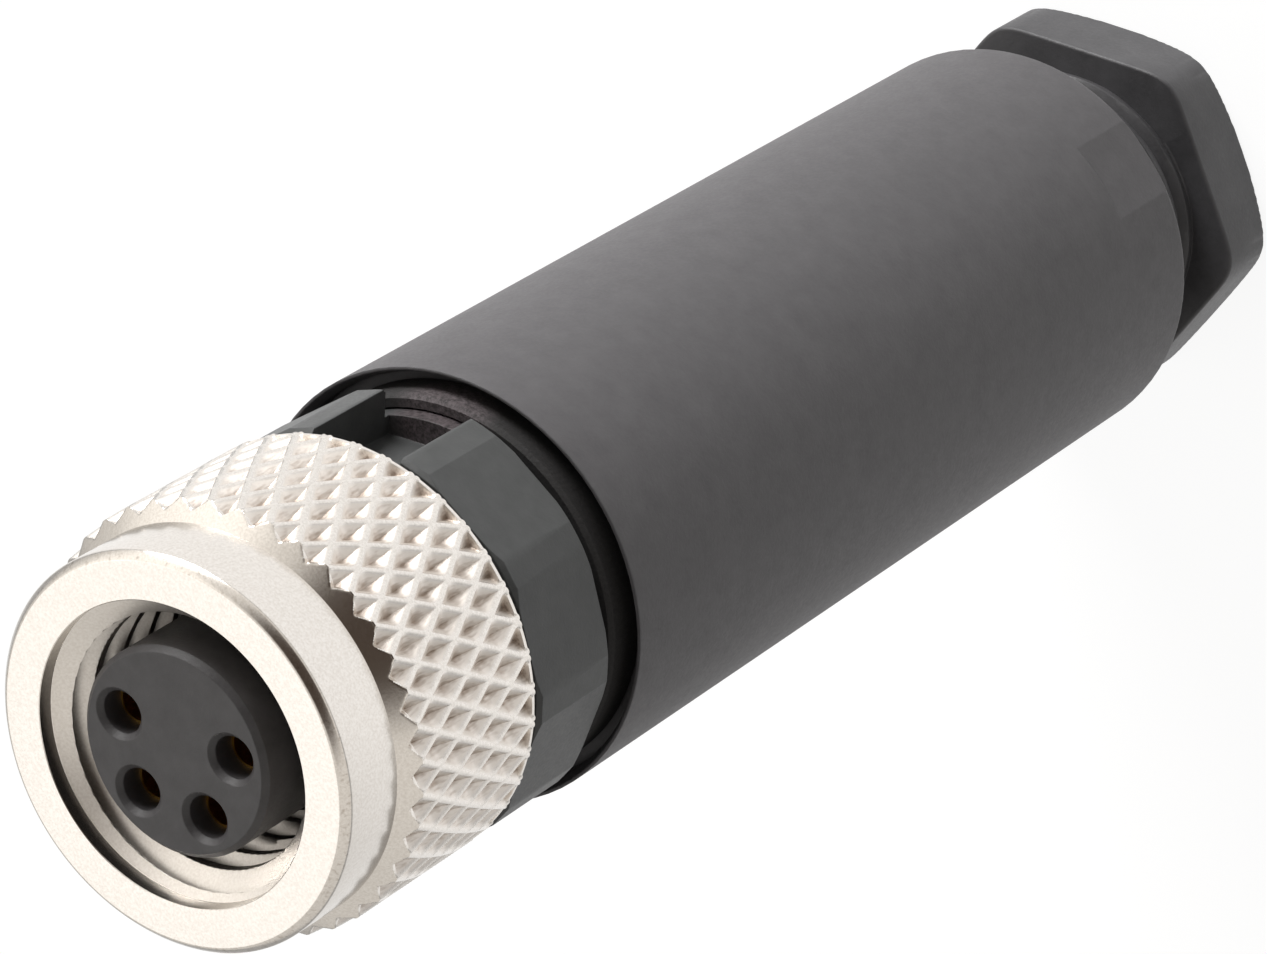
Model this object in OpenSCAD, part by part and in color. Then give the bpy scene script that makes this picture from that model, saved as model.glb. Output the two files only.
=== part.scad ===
// Circular sensor connector: straight screw-locking cable socket with four contacts.
// It stands on the flat rear face of its gland nut with the mating face up, axis on Z.

/* [Grip sleeve] */
// outside diameter of the grip sleeve, mm
sleeve_d = 12; // [11:0.1:13]
// length of the grip sleeve, mm
sleeve_len = 29; // [28:0.5:34]
// wall of the sleeve round the collar's spigot, mm
thread_wall = 0.9; // [0.8:0.05:1]
// wall of the sleeve round the gland nut's neck, mm
rear_wall = 1.45; // [1.3:0.05:1.5]
// wall of the sleeve round the wire space, mm
cavity_wall = 1.2; // [1.1:0.05:1.4]
// depth of the bore for the gland nut's neck, mm
rear_bore_len = 16; // [15:0.5:17]
// width of the step between the bore and the wire space, mm
step_w = 1.2; // [0.9:0.05:1.3]
// thickness of that step, mm
step_h = 1; // [0.8:0.1:1.5]
// thickness of the thin lip round the seal, mm
lip_wall = 0.25; // [0.2:0.05:0.3]
// width of the edge that the lip tapers to, mm
lip_edge = 0.08; // [0.05:0.01:0.15]
// height of that taper, mm
lip_taper = 0.4; // [0.2:0.05:0.6]
// depth of the seat inside the lip, mm
seal_seat = 0.9; // [0.7:0.1:1]
// rounding of the sleeve's rear edge, mm
sleeve_round = 0.25; // [0.1:0.05:0.6]
// depth of the two wrench flats at the sleeve's rear end, mm
flat_depth = 0.12; // [0.06:0.02:0.2]
// length of the wrench flats, mm
flat_len = 2.9; // [2:0.1:4]
// direction of the first wrench flat, degrees
flat_turn = -89.5; // [-180:0.5:180]

/* [Coupling nut] */
// nominal diameter of the coupling thread, mm
thread_d = 8; // [7.9:0.1:8.2]
// pitch of the coupling thread, mm
thread_pitch = 1; // [0.9:0.05:1]
// how much wider than the thread the mouth opens, mm
mouth_gap = 0.05; // [0:0.05:0.2]
// depth of the plain wall at the mouth, mm
mouth_depth = 0.45; // [0.2:0.05:0.6]
// slope of the cone from that wall down to the thread, degrees
mouth_slope = 30; // [15:1:45]
// length of the coupling nut, mm
nut_len = 7.25; // [7:0.05:8]
// diameter over the knurl, mm
nut_d = 11.6; // [11.4:0.1:12]
// height of the knurl's shoulder above the smooth band, mm
shoulder = 0.5; // [0.4:0.05:0.6]
// length of the smooth band at the mouth, mm
band_len = 2.05; // [1.6:0.05:2.4]
// length of the cone from the band up to the knurl, mm
shoulder_len = 0.4; // [0.2:0.01:0.6]
// chamfer on the outer edge of the mouth, mm
nut_chamfer = 0.2; // [0.1:0.05:0.3]
// thickness of the nut's inner lip, mm
nut_lip = 1.6; // [1.2:0.1:2]

/* [Knurl] */
// number of diamonds round the nut
knurl_n = 40; // [30:1:48]
// height of one diamond, mm
knurl_h = 1.56; // [1.3:0.02:1.8]
// depth of a diamond, mm
knurl_depth = 0.28; // [0.15:0.01:0.35]
// width of the flat on top of a ridge, mm
knurl_flat = 0.12; // [0.06:0.01:0.2]
// direction of the first column of diamonds, degrees
knurl_turn = -75.15; // [-90:0.05:90]
// how far the first crossing of ridges lies in front of the cone's edge, mm
knurl_lead = 0.04; // [0.02:0.01:0.3]
// width of the plain rim at the nut's rear edge, mm
rim_len = 0.1; // [0.05:0.01:0.3]
// how far that rim lies below the ridges, mm
rim_sink = 0.04; // [0.02:0.01:0.1]

/* [Contact carrier] */
// diameter of the carrier's nose, mm
nose_d = 5.6; // [5.5:0.05:5.7]
// how far the nose lies behind the nut's face, mm
nose_recess = 0.15; // [0.05:0.05:0.5]
// chamfer on the edge of the nose, mm
nose_chamfer = 0.15; // [0.1:0.05:0.35]
// diameter of the carrier's shank, mm
shank_d = 5.8; // [5.7:0.05:5.9]
// thickness of the carrier's flange, mm
flange_h = 1; // [0.8:0.1:1.4]
// radial clearance of the flange inside the thread, mm
flange_gap = 0.16; // [0.12:0.01:0.25]
// depth of the groove the face seal sits in, mm
groove_depth = 0.25; // [0.2:0.01:0.3]
// how far the face seal lies inside the flange's edge, mm
seal_inset = 0.15; // [0.1:0.01:0.2]
// diameter of a hole in the nose, mm
hole_d = 1.14; // [1.1:0.01:1.2]
// lead-in at the mouth of a hole, mm
hole_lead = 0.14; // [0.1:0.01:0.18]
// thickness of the disc that holds the contacts, mm
retainer_h = 1.5; // [1.2:0.1:2]
// how far that disc lies inside the collar's spigot, mm
retainer_sink = 0.35; // [0.2:0.05:0.6]

/* [Contacts] */
// diameter of the circle the contacts stand on, mm
contact_circle = 3.54; // [3.4:0.02:3.6]
// bore of a contact, which takes a 1 mm pin, mm
contact_bore = 1.02; // [1:0.01:1.06]
// depth of that bore, mm
contact_depth = 5.5; // [5:0.1:6]
// wall of a contact, mm
contact_wall = 0.19; // [0.15:0.01:0.2]
// depth of a contact's mouth below the nose, mm
contact_sink = 0.8; // [0.6:0.1:1.2]
// how far a contact's stop ring stands out, mm
stop_w = 0.15; // [0.1:0.01:0.18]
// thickness of the stop ring, mm
stop_h = 0.6; // [0.4:0.1:0.8]
// diameter of a contact's tail, mm
tail_d = 1.2; // [1.1:0.05:1.3]
// length of a contact's tail, mm
tail_len = 3.5; // [3:0.1:4]
// depth of the solder cup in the tail, mm
cup_depth = 2.5; // [2:0.1:2.8]
// wall of the solder cup, mm
cup_wall = 0.15; // [0.12:0.01:0.2]
// length of the open side of the cup, mm
cup_cut = 1.9; // [1.5:0.1:2.2]
// direction of the contact pattern's line of symmetry, degrees
contact_turn = 136; // [0:1:360]
// half angle between the two near contacts, degrees
near_turn = 35.4; // [34:0.2:38]
// half angle between the two far contacts, degrees
far_turn = 105.6; // [102:0.2:108]

/* [Collar] */
// diameter of the collar's head over its corners, mm
collar_d = 11.6; // [11.4:0.1:11.8]
// height of the collar's head, mm
collar_h = 3.15; // [2.8:0.05:3.6]
// direction of the first corner of the collar, degrees
collar_turn = -96; // [-180:1:180]
// half angle of the narrow face on each corner, degrees
corner_turn = 3.7; // [2:0.1:6]
// chamfer on the corners at both ends of the head, mm
collar_chamfer = 0.12; // [0.05:0.01:0.2]
// depth of the key notch in the collar, mm
notch_depth = 1.32; // [0.8:0.02:1.4]
// width left of the notched face on each side of the notch, mm
notch_land = 0.08; // [0.05:0.01:0.2]
// how far the notch runs into the spigot, mm
notch_sink = 0.2; // [0.1:0.05:0.3]
// length of the collar's threaded spigot, mm
spigot_len = 4.85; // [4:0.05:5.5]
// gap between the sleeve's lip and the collar's head, mm
collar_gap = 1.05; // [0.95:0.05:1.2]
// thickness of the collar's sealing ring, mm
seal_t = 0.36; // [0.3:0.02:0.4]
// height of the collar's sealing ring, mm
seal_h = 1.2; // [1:0.1:1.4]
// chamfer on the ring's outer edge, mm
seal_chamfer = 0.12; // [0.05:0.01:0.2]

/* [Gland nut] */
// width of the gland nut over its flats, mm
hex_af = 10.4; // [10:0.1:10.5]
// height of the gland nut's hexagon, mm
hex_h = 2.6; // [2.4:0.1:4]
// diameter over the rounded corners of the hexagon, mm
hex_tip_d = 11.6; // [11.2:0.1:11.8]
// height of the chamfer round the rear face, mm
hex_chamfer = 0.54; // [0.3:0.02:0.7]
// direction of the first flat of the hexagon, degrees
hex_turn = 15; // [0:1:60]
// open gap between the hexagon and the sleeve, mm
gland_gap = 3.2; // [3:0.1:3.4]
// chamfer at the mouth of the cable entry, mm
entry_chamfer = 0.3; // [0.1:0.05:0.5]
// length of the gland nut's threaded neck, mm
neck_len = 7; // [6.5:0.1:7.5]
// wall of the neck round the clamp's fingers, mm
neck_wall = 0.7; // [0.6:0.05:0.8]

/* [Cable clamp] */
// thickness of the cage's ring, mm
cage_h = 1.3; // [1:0.1:1.6]
// length of the cage's fingers, mm
finger_len = 3; // [2.5:0.1:3.5]
// width of a slot between fingers, mm
slot_w = 0.6; // [0.4:0.1:0.8]
// wall of a finger, mm
finger_wall = 0.75; // [0.6:0.05:0.8]
// number of fingers
finger_n = 6; // [4:2:8]
// height of the soft bush, mm
bush_h = 5; // [4:0.5:6]
// wall of the soft bush, mm
bush_wall = 2.05; // [1.8:0.05:2.3]
// height of the cone that presses the fingers in, mm
cone_h = 1; // [0.8:0.1:1.4]
// room below the fingers, mm
finger_room = 0.4; // [0.2:0.1:0.6]

/* [Clearances] */
// radial clearance of turning and sliding fits, mm
fit_gap = 0.1; // [0.08:0.01:0.12]
// end play of turning pieces, mm
end_play = 0.1; // [0.05:0.01:0.15]
// gap between the collar's head and the coupling nut, mm
nut_gap = 0.2; // [0.15:0.05:0.3]
// radial clearance of the sealing ring on the spigot, mm
ring_gap = 0.06; // [0.04:0.01:0.08]
// gap between the gland nut's neck and the clamp cage, mm
cage_gap = 0.05; // [0.03:0.01:0.1]
// radial clearance of the fingers in the neck, mm
finger_gap = 0.25; // [0.2:0.05:0.3]

/* [Hidden] */
$fn = 64;
past = 0.1;
z_sleeve = hex_h + gland_gap;
z_lip = z_sleeve + sleeve_len;
z_head = z_lip + collar_gap;
z_nut = z_head + collar_h + nut_gap;
z_face = z_nut + nut_len;
z_nose = z_face - nose_recess;
z_mouth = z_nose - contact_sink;
z_flange = z_nut + nut_lip + end_play;
z_groove = z_flange + flange_h;
z_spigot = z_head - spigot_len;
z_retainer = z_spigot + retainer_sink;
z_shank = z_retainer + retainer_h;
z_tail = z_retainer - tail_len;
z_step = z_sleeve + rear_bore_len;
z_cavity = z_step + step_h;
z_thread = z_spigot - end_play;
z_seat = z_lip - seal_seat;
z_neck = hex_h + neck_len;
z_cage = z_neck + cage_gap;
z_finger = z_cage - finger_len;
minor_d = thread_d - 1.0825 * thread_pitch;
mouth_d = thread_d + 2 * mouth_gap;
band_d = nut_d - 2 * shoulder;
flange_d = minor_d - 2 * flange_gap;
root_d = nose_d - 2 * groove_depth;
face_seal_t = (flange_d - root_d) / 2 - seal_inset;
contact_d = contact_bore + 2 * contact_wall;
stop_d = contact_d + 2 * stop_w;
bore_d = sleeve_d - 2 * thread_wall;
spigot_d = bore_d - 2 * fit_gap;
rear_d = sleeve_d - 2 * rear_wall;
neck_d = rear_d - 2 * fit_gap;
cavity_d = sleeve_d - 2 * cavity_wall;
step_d = cavity_d - 2 * step_w;
lip_d = sleeve_d - 2 * lip_wall;
cage_d = rear_d - 2 * fit_gap;
funnel_d = neck_d - 2 * neck_wall;
finger_d = funnel_d - 2 * finger_gap;
cable_hole = finger_d - 2 * finger_wall;
bush_hole = cage_d - 2 * bush_wall;
corner_n = 10;
corner_step = 360 / corner_n;

// the knurl's points lie on a net of half diamonds: columns run round the nut and rows run down it
z_tip = z_face - band_len - shoulder_len;
columns = 2 * knurl_n;
half_w = PI * nut_d / columns;
half_h = knurl_h / 2;
z_net = z_tip + knurl_lead + half_h;
rows = ceil((z_net - z_nut) / half_h);
ridge = knurl_flat / 2 * norm([half_w, half_h]) / (half_w * half_h);

function is_pit(i, j) = (i + j) % 2 == 1;

function net_point(r, i, j) =
    let (a = knurl_turn + 360 * i / columns)
        [r * cos(a), r * sin(a), z_net - j * half_h];

// where the ridge's flat ends on the line from point k to the next one
function flat_end(k, pit) = pit ? k + 1 - ridge : k + ridge;

function net(i, j) = j * columns + i % columns;

function across(i, j) = (rows + 1) * columns + net(i, j);

function down(i, j) = 2 * (rows + 1) * columns + net(i, j);

function foot(i, end) = (3 * rows + 2 + end) * columns + i % columns;

// four pit and ridge facets of one rectangle of the net, as triangles
function net_faces(i, j) =
    let (t = across(i, j), b = across(i, j + 1), l = down(i, j), r = down(i + 1, j))
        is_pit(i, j)
            ? [
                [net(i, j), t, l], [net(i + 1, j + 1), b, r],
                [t, net(i + 1, j), r], [t, r, b], [t, b, l], [b, net(i, j + 1), l]
            ]
            : [
                [net(i + 1, j), r, t], [net(i, j + 1), l, b],
                [l, net(i, j), t], [l, t, r], [l, r, b], [r, net(i + 1, j + 1), b]
            ];

// front end, rear end and inner wall of the ring in one column
function ring_faces(i) =
    let (t = across(i, 0), b = across(i, rows))
        [
            [net(i + 1, 0), t, foot(i + 1, 0)], [t, foot(i, 0), foot(i + 1, 0)], [t, net(i, 0), foot(i, 0)],
            [net(i + 1, rows), foot(i + 1, 1), b], [b, foot(i + 1, 1), foot(i, 1)], [b, foot(i, 1), net(i, rows)],
            [foot(i, 0), foot(i, 1), foot(i + 1, 1)], [foot(i, 0), foot(i + 1, 1), foot(i + 1, 0)]
        ];

// ring of raised diamond ridges with a four-sided pit in each diamond
module knurl() {
    r = nut_d / 2;
    foot_r = band_d / 2 - past;
    polyhedron(
        points = [
            for (j = [0:rows], i = [0:columns - 1])
                net_point(is_pit(i, j) ? r - knurl_depth : r, i, j),
            for (j = [0:rows], i = [0:columns - 1])
                net_point(r, flat_end(i, is_pit(i, j)), j),
            for (j = [0:rows - 1], i = [0:columns - 1])
                net_point(r, i, flat_end(j, is_pit(i, j))),
            for (j = [0, rows], i = [0:columns - 1])
                net_point(foot_r, i, j)
        ],
        faces = [
            for (j = [0:rows - 1], i = [0:columns - 1])
                each net_faces(i, j),
            for (i = [0:columns - 1])
                each ring_faces(i)
        ]
    );
}

// places a child on one of the four contact axes
module at_contact(i) {
    turn = [far_turn, near_turn, -near_turn, -far_turn];
    rotate([0, 0, contact_turn + turn[i - 1]])
        translate([contact_circle / 2, 0, 0])
            children();
}

// knurled ring with the coupling thread, held by its inner lip
module coupling_nut() {
    r = nut_d / 2;
    hole_r = shank_d / 2 + fit_gap;
    z_low = z_nut - knurl_h;
    slope = shoulder_len / shoulder;
    color([0.80, 0.77, 0.72])
        difference() {
            union() {
                rotate_extrude()
                    polygon([
                        [hole_r, z_low],
                        [band_d / 2, z_low],
                        [band_d / 2, z_face - nut_chamfer],
                        [band_d / 2 - nut_chamfer, z_face],
                        [mouth_d / 2, z_face],
                        [mouth_d / 2, z_face - mouth_depth],
                        [minor_d / 2, z_face - mouth_depth - (mouth_d - minor_d) / 2 * tan(mouth_slope)],
                        [minor_d / 2, z_nut + nut_lip],
                        [hole_r, z_nut + nut_lip]
                    ]);
                rotate([0, 0, knurl_turn + 90 / columns])
                    rotate_extrude($fn = columns)
                        translate([band_d / 2 - past, z_low])
                            square([r - rim_sink - band_d / 2 + past, knurl_h + rim_len]);
                intersection() {
                    knurl();
                    rotate([0, 0, knurl_turn + 90 / columns])
                        rotate_extrude($fn = columns)
                            polygon([
                                [0, z_low],
                                [r + past, z_low],
                                [r + past, z_tip - slope * past],
                                [0, z_tip + slope * r]
                            ]);
                }
            }
            translate([0, 0, z_low - past])
                cylinder(d = 2 * nut_d, h = knurl_h + past);
        }
}

// round rubber ring at the root of the nose
module face_seal() {
    color([0.10, 0.10, 0.10])
        translate([0, 0, z_groove + face_seal_t / 2])
            rotate_extrude()
                translate([root_d / 2 + face_seal_t / 2, 0])
                    circle(d = face_seal_t, $fn = 24);
}

// moulded insulator with nose, flange and shank
module contact_carrier() {
    color([0.16, 0.16, 0.16])
        difference() {
            rotate_extrude()
                polygon([
                    [0, z_shank],
                    [shank_d / 2, z_shank],
                    [shank_d / 2, z_flange],
                    [flange_d / 2, z_flange],
                    [flange_d / 2, z_groove],
                    [root_d / 2, z_groove],
                    [root_d / 2, z_groove + face_seal_t],
                    [nose_d / 2, z_groove + face_seal_t],
                    [nose_d / 2, z_nose - nose_chamfer],
                    [nose_d / 2 - nose_chamfer, z_nose],
                    [0, z_nose]
                ]);
            for (i = [1:4])
                at_contact(i) {
                    translate([0, 0, z_shank - past])
                        cylinder(d = contact_d, h = z_mouth - z_shank + past, $fn = 32);
                    translate([0, 0, z_shank - past])
                        cylinder(d = stop_d, h = stop_h + past, $fn = 32);
                    translate([0, 0, z_mouth - past])
                        cylinder(d = hole_d, h = contact_sink + 2 * past, $fn = 32);
                    translate([0, 0, z_nose - hole_lead])
                        cylinder(d1 = hole_d, d2 = hole_d + 4 * hole_lead, h = 2 * hole_lead, $fn = 32);
                }
        }
}

// turned socket contact with a stop ring and a solder cup
module contact(i) {
    color([0.83, 0.65, 0.25])
        at_contact(i)
            difference() {
                union() {
                    translate([0, 0, z_retainer])
                        cylinder(d = contact_d, h = z_mouth - z_retainer, $fn = 32);
                    translate([0, 0, z_shank])
                        cylinder(d = stop_d, h = stop_h, $fn = 32);
                    translate([0, 0, z_tail])
                        cylinder(d = tail_d, h = tail_len + past, $fn = 32);
                }
                translate([0, 0, z_mouth - contact_depth])
                    cylinder(d = contact_bore, h = contact_depth + past, $fn = 32);
                translate([0, 0, z_tail - past])
                    cylinder(d = tail_d - 2 * cup_wall, h = cup_depth + past, $fn = 32);
                translate([0, -tail_d, z_tail - past])
                    cube([tail_d, 2 * tail_d, cup_cut + past]);
            }
}

// disc behind the carrier that keeps the contacts in place
module contact_retainer() {
    color([0.20, 0.20, 0.20])
        difference() {
            translate([0, 0, z_retainer])
                cylinder(d = shank_d, h = retainer_h);
            for (i = [1:4])
                at_contact(i)
                    translate([0, 0, z_retainer - past])
                        cylinder(d = contact_d, h = retainer_h + 2 * past, $fn = 32);
        }
}

// ten-sided head with narrow corner faces, a key notch and a threaded spigot for the sleeve
module collar() {
    r = collar_d / 2;
    z_top = z_head + collar_h;
    face_half = corner_step / 2 - corner_turn;
    notch_w = 2 * (r * sin(face_half) - notch_land);
    color([0.13, 0.13, 0.13])
        difference() {
            union() {
                intersection() {
                    translate([0, 0, z_head - past])
                        linear_extrude(collar_h + 2 * past)
                            polygon([
                                for (i = [0:corner_n - 1], side = [-1, 1])
                                    let (a = collar_turn + corner_step * i + side * corner_turn)
                                        r * [cos(a), sin(a)]
                            ]);
                    rotate_extrude()
                        polygon([
                            [0, z_head],
                            [r - collar_chamfer, z_head],
                            [r + past, z_head + collar_chamfer + past],
                            [r + past, z_top - collar_chamfer - past],
                            [r - collar_chamfer, z_top],
                            [0, z_top]
                        ]);
                }
                translate([0, 0, z_spigot])
                    cylinder(d = spigot_d, h = spigot_len + past);
            }
            translate([0, 0, z_spigot - past])
                cylinder(d = shank_d, h = spigot_len + collar_h + 2 * past);
            rotate([0, 0, collar_turn + 1.5 * corner_step])
                translate([r * cos(face_half) - notch_depth, -notch_w / 2, z_head - notch_sink])
                    cube([r, notch_w, notch_sink + collar_h + past]);
        }
}

// rubber ring between the collar's head and the sleeve's mouth
module collar_seal() {
    r = spigot_d / 2 + ring_gap;
    z_ring = z_seat + end_play;
    color([0.12, 0.11, 0.11])
        rotate_extrude()
            polygon([
                [r, z_ring],
                [r + seal_t, z_ring],
                [r + seal_t, z_ring + seal_h - seal_chamfer],
                [r + seal_t - seal_chamfer, z_ring + seal_h],
                [r, z_ring + seal_h]
            ]);
}

// smooth round grip that screws onto the collar and takes the gland nut
module sleeve() {
    r = sleeve_d / 2;
    color([0.27, 0.27, 0.28])
        difference() {
            rotate_extrude()
                difference() {
                    union() {
                        translate([0, z_sleeve + sleeve_round])
                            square([r, sleeve_len - sleeve_round]);
                        translate([0, z_sleeve])
                            square([r - sleeve_round, 2 * sleeve_round]);
                        translate([r - sleeve_round, z_sleeve + sleeve_round])
                            circle(r = sleeve_round, $fn = 32);
                    }
                    polygon([
                        [-past, z_sleeve - past],
                        [rear_d / 2, z_sleeve - past],
                        [rear_d / 2, z_step],
                        [step_d / 2, z_step],
                        [step_d / 2, z_cavity],
                        [cavity_d / 2, z_cavity],
                        [cavity_d / 2, z_thread],
                        [bore_d / 2, z_thread],
                        [bore_d / 2, z_seat],
                        [lip_d / 2, z_seat],
                        [lip_d / 2, z_lip - lip_taper],
                        [r - lip_edge, z_lip],
                        [r - lip_edge, z_lip + past],
                        [-past, z_lip + past]
                    ]);
                }
            for (turn = [0, 180])
                rotate([0, 0, flat_turn + turn])
                    translate([r - flat_depth, -r, z_sleeve - past])
                        cube([r, sleeve_d, flat_len + past]);
        }
}

// soft bush that closes round the cable
module cable_seal() {
    color([0.14, 0.14, 0.14])
        translate([0, 0, z_cage + cage_h])
            difference() {
                cylinder(d = cage_d, h = bush_h);
                translate([0, 0, -past])
                    cylinder(d = bush_hole, h = bush_h + 2 * past);
            }
}

// slotted cage whose fingers grip the cable when the gland nut is tightened
module clamp_cage() {
    color([0.55, 0.55, 0.52])
        difference() {
            union() {
                translate([0, 0, z_cage])
                    cylinder(d = cage_d, h = cage_h);
                translate([0, 0, z_finger])
                    cylinder(d = finger_d, h = finger_len + past);
            }
            translate([0, 0, z_finger - past])
                cylinder(d = cable_hole, h = finger_len + cage_h + 2 * past);
            for (i = [0:finger_n / 2 - 1])
                rotate([0, 0, i * 360 / finger_n])
                    translate([-finger_d, -slot_w / 2, z_finger - past])
                        cube([2 * finger_d, slot_w, finger_len]);
        }
}

// hexagonal pressing screw with the cable entry
module gland_nut() {
    tip_r = hex_tip_d / 2;
    z_funnel = z_finger - finger_room;
    color([0.15, 0.15, 0.15])
        difference() {
            union() {
                intersection() {
                    rotate([0, 0, hex_turn + 30])
                        cylinder(d = hex_af / cos(30), h = hex_h, $fn = 6);
                    rotate_extrude()
                        polygon([
                            [0, 0],
                            [tip_r - hex_chamfer / tan(30), 0],
                            [tip_r, hex_chamfer],
                            [tip_r, hex_h],
                            [0, hex_h]
                        ]);
                }
                translate([0, 0, hex_h - past])
                    cylinder(d = neck_d, h = neck_len + past);
            }
            translate([0, 0, -past])
                cylinder(d = cable_hole, h = z_neck + 2 * past);
            translate([0, 0, -past])
                cylinder(d1 = cable_hole + 2 * (entry_chamfer + past), d2 = cable_hole, h = entry_chamfer + past);
            translate([0, 0, z_funnel])
                cylinder(d = funnel_d, h = z_neck - z_funnel + past);
            translate([0, 0, z_funnel - cone_h])
                cylinder(d1 = cable_hole, d2 = funnel_d, h = cone_h + past / 100);
        }
}

coupling_nut();
face_seal();
contact_carrier();
contact(1);  // contact_1
contact(2);  // contact_2
contact(3);  // contact_3
contact(4);  // contact_4
contact_retainer();
collar();
collar_seal();
sleeve();
cable_seal();
clamp_cage();
gland_nut();
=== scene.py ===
import math

import bmesh
import bpy
import numpy as np
from mathutils import Matrix, Vector


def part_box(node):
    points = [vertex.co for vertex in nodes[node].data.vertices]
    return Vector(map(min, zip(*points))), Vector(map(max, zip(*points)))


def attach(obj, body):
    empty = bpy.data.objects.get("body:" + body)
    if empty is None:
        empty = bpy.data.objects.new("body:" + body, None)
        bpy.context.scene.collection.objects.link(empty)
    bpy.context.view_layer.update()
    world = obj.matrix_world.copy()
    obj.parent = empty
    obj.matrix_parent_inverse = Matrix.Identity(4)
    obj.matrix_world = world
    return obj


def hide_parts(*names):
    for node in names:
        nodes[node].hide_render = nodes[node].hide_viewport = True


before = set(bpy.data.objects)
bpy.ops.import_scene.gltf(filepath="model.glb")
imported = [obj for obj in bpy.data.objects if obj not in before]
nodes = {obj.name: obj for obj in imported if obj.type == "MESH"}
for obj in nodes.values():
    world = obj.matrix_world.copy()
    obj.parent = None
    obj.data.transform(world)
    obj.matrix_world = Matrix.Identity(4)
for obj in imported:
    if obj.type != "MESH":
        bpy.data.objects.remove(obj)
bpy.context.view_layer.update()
mm = 0.001

# Contacts: four sockets turned from brass and plated with gold, pushed into the carrier from behind.
# Their mouths glint deep in the holes of the mating face, and their solder cups hang inside the sleeve.
ring_spacing = 1.005 * mm
ring_depth = 0.01 * mm
wave_radians = 20
tarnish_patch = 0.5 * mm


def linear(hex_colour):
    """sRGB hex colour as the linear colour that a socket takes."""
    parts = [int(hex_colour[i:i + 2], 16) / 255 for i in (1, 3, 5)]
    return [p / 12.92 if p <= 0.04045 else ((p + 0.055) / 1.055) ** 2.4 for p in parts] + [1.0]


def add(tree, kind, inputs=None, **settings):
    """Adds a node with its settings, links or constants, and gives its first output."""
    node = tree.nodes.new(kind)
    for name, value in settings.items():
        setattr(node, name, value)
    for key, value in (inputs or {}).items():
        if isinstance(value, bpy.types.NodeSocket):
            tree.links.new(value, node.inputs[key])
        else:
            node.inputs[key].default_value = value
    return node.outputs[0] if len(node.outputs) else node


def new_finish(name):
    """An empty material, its node tree and the Object coordinates that its patterns read."""
    finish = bpy.data.materials.new(name)
    finish.use_nodes = True
    tree = finish.node_tree
    tree.nodes.clear()
    place = add(tree, "ShaderNodeTexCoord").node.outputs["Object"]
    return finish, tree, place


def blend_colours(tree, factor, stops):
    """Colour that a factor picks between (position, hex colour) stops."""
    ramp = add(tree, "ShaderNodeValToRGB", {"Fac": factor}).node
    while len(ramp.color_ramp.elements) < len(stops):
        ramp.color_ramp.elements.new(0.5)
    for element, (position, colour) in zip(ramp.color_ramp.elements, stops):
        element.position = position
        element.color = linear(colour)
    return ramp.outputs["Color"]


def dress(finish, *names):
    """Gives the finish to CAD nodes, through their own material slots."""
    for name in names:
        for slot in nodes[name].material_slots:
            slot.material = finish


# gold plate over turned brass: warm metal with lathe rings and a little tarnish; real rings are about 0.05 mm
# apart, too fine to show, so they are drawn 1 mm apart; a wave texture has 20 radians to a unit
gold, tree, place = new_finish("gold_plated_turned_brass")
rings = add(tree, "ShaderNodeTexWave", {
    "Vector": place, "Scale": 2 * math.pi / wave_radians / ring_spacing, "Distortion": 0.4},
    wave_type="BANDS", bands_direction="Z")
tarnish = add(tree, "ShaderNodeTexNoise", {"Vector": place, "Scale": 1 / tarnish_patch, "Detail": 3.0})
relief = add(tree, "ShaderNodeBump", {"Height": rings, "Strength": 0.25, "Distance": ring_depth})
shader = add(tree, "ShaderNodeBsdfPrincipled", {
    "Base Color": blend_colours(tree, tarnish, [(0.3, "#c8913a"), (0.7, "#e0b565")]),
    "Metallic": 1.0, "Roughness": 0.3, "Normal": relief})
add(tree, "ShaderNodeOutputMaterial", {"Surface": shader})
dress(gold, "contact_1", "contact_2", "contact_3", "contact_4")

# Contact carrier and its retaining disc: glass-filled polyester moulded round the contact holes.
# The nose stands inside the nut's mouth, and the disc behind closes the contacts in.


def moulded(name, shades, grain, blotch, height, roughness, edge, cover=None):
    """Moulded plastic: a tone that drifts, the grain of an eroded mould, and edges that the mould rounds."""
    pit_tone = 0.35
    gloss_spread = 0.06
    finish, tree, place = new_finish(name)
    drift = add(tree, "ShaderNodeTexNoise", {
        "Vector": place, "Scale": 1 / blotch, "Detail": 4.0, "Roughness": 0.6})
    pits = add(tree, "ShaderNodeTexNoise", {
        "Vector": place, "Scale": 1 / grain, "Detail": 2.0, "Roughness": 0.7})
    tone = add(tree, "ShaderNodeMath", {0: pits, 1: pit_tone, 2: drift}, operation="MULTIPLY_ADD")
    gloss = add(tree, "ShaderNodeMapRange", {
        "Value": pits, "From Min": 0.3, "From Max": 0.7,
        "To Min": roughness - gloss_spread, "To Max": roughness + gloss_spread})
    softened = add(tree, "ShaderNodeBevel", {"Radius": edge}, samples=4)
    relief = add(tree, "ShaderNodeBump", {
        "Height": pits, "Strength": 0.5, "Distance": height, "Normal": softened})
    colour = blend_colours(tree, tone, [(0.45, shades[0]), (0.9, shades[1])])
    if cover:
        colour = cover(tree, place, colour)
    shader = add(tree, "ShaderNodeBsdfPrincipled", {
        "Base Color": colour, "Roughness": gloss, "IOR": 1.5, "Normal": relief})
    add(tree, "ShaderNodeOutputMaterial", {"Surface": shader})
    return finish


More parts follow.
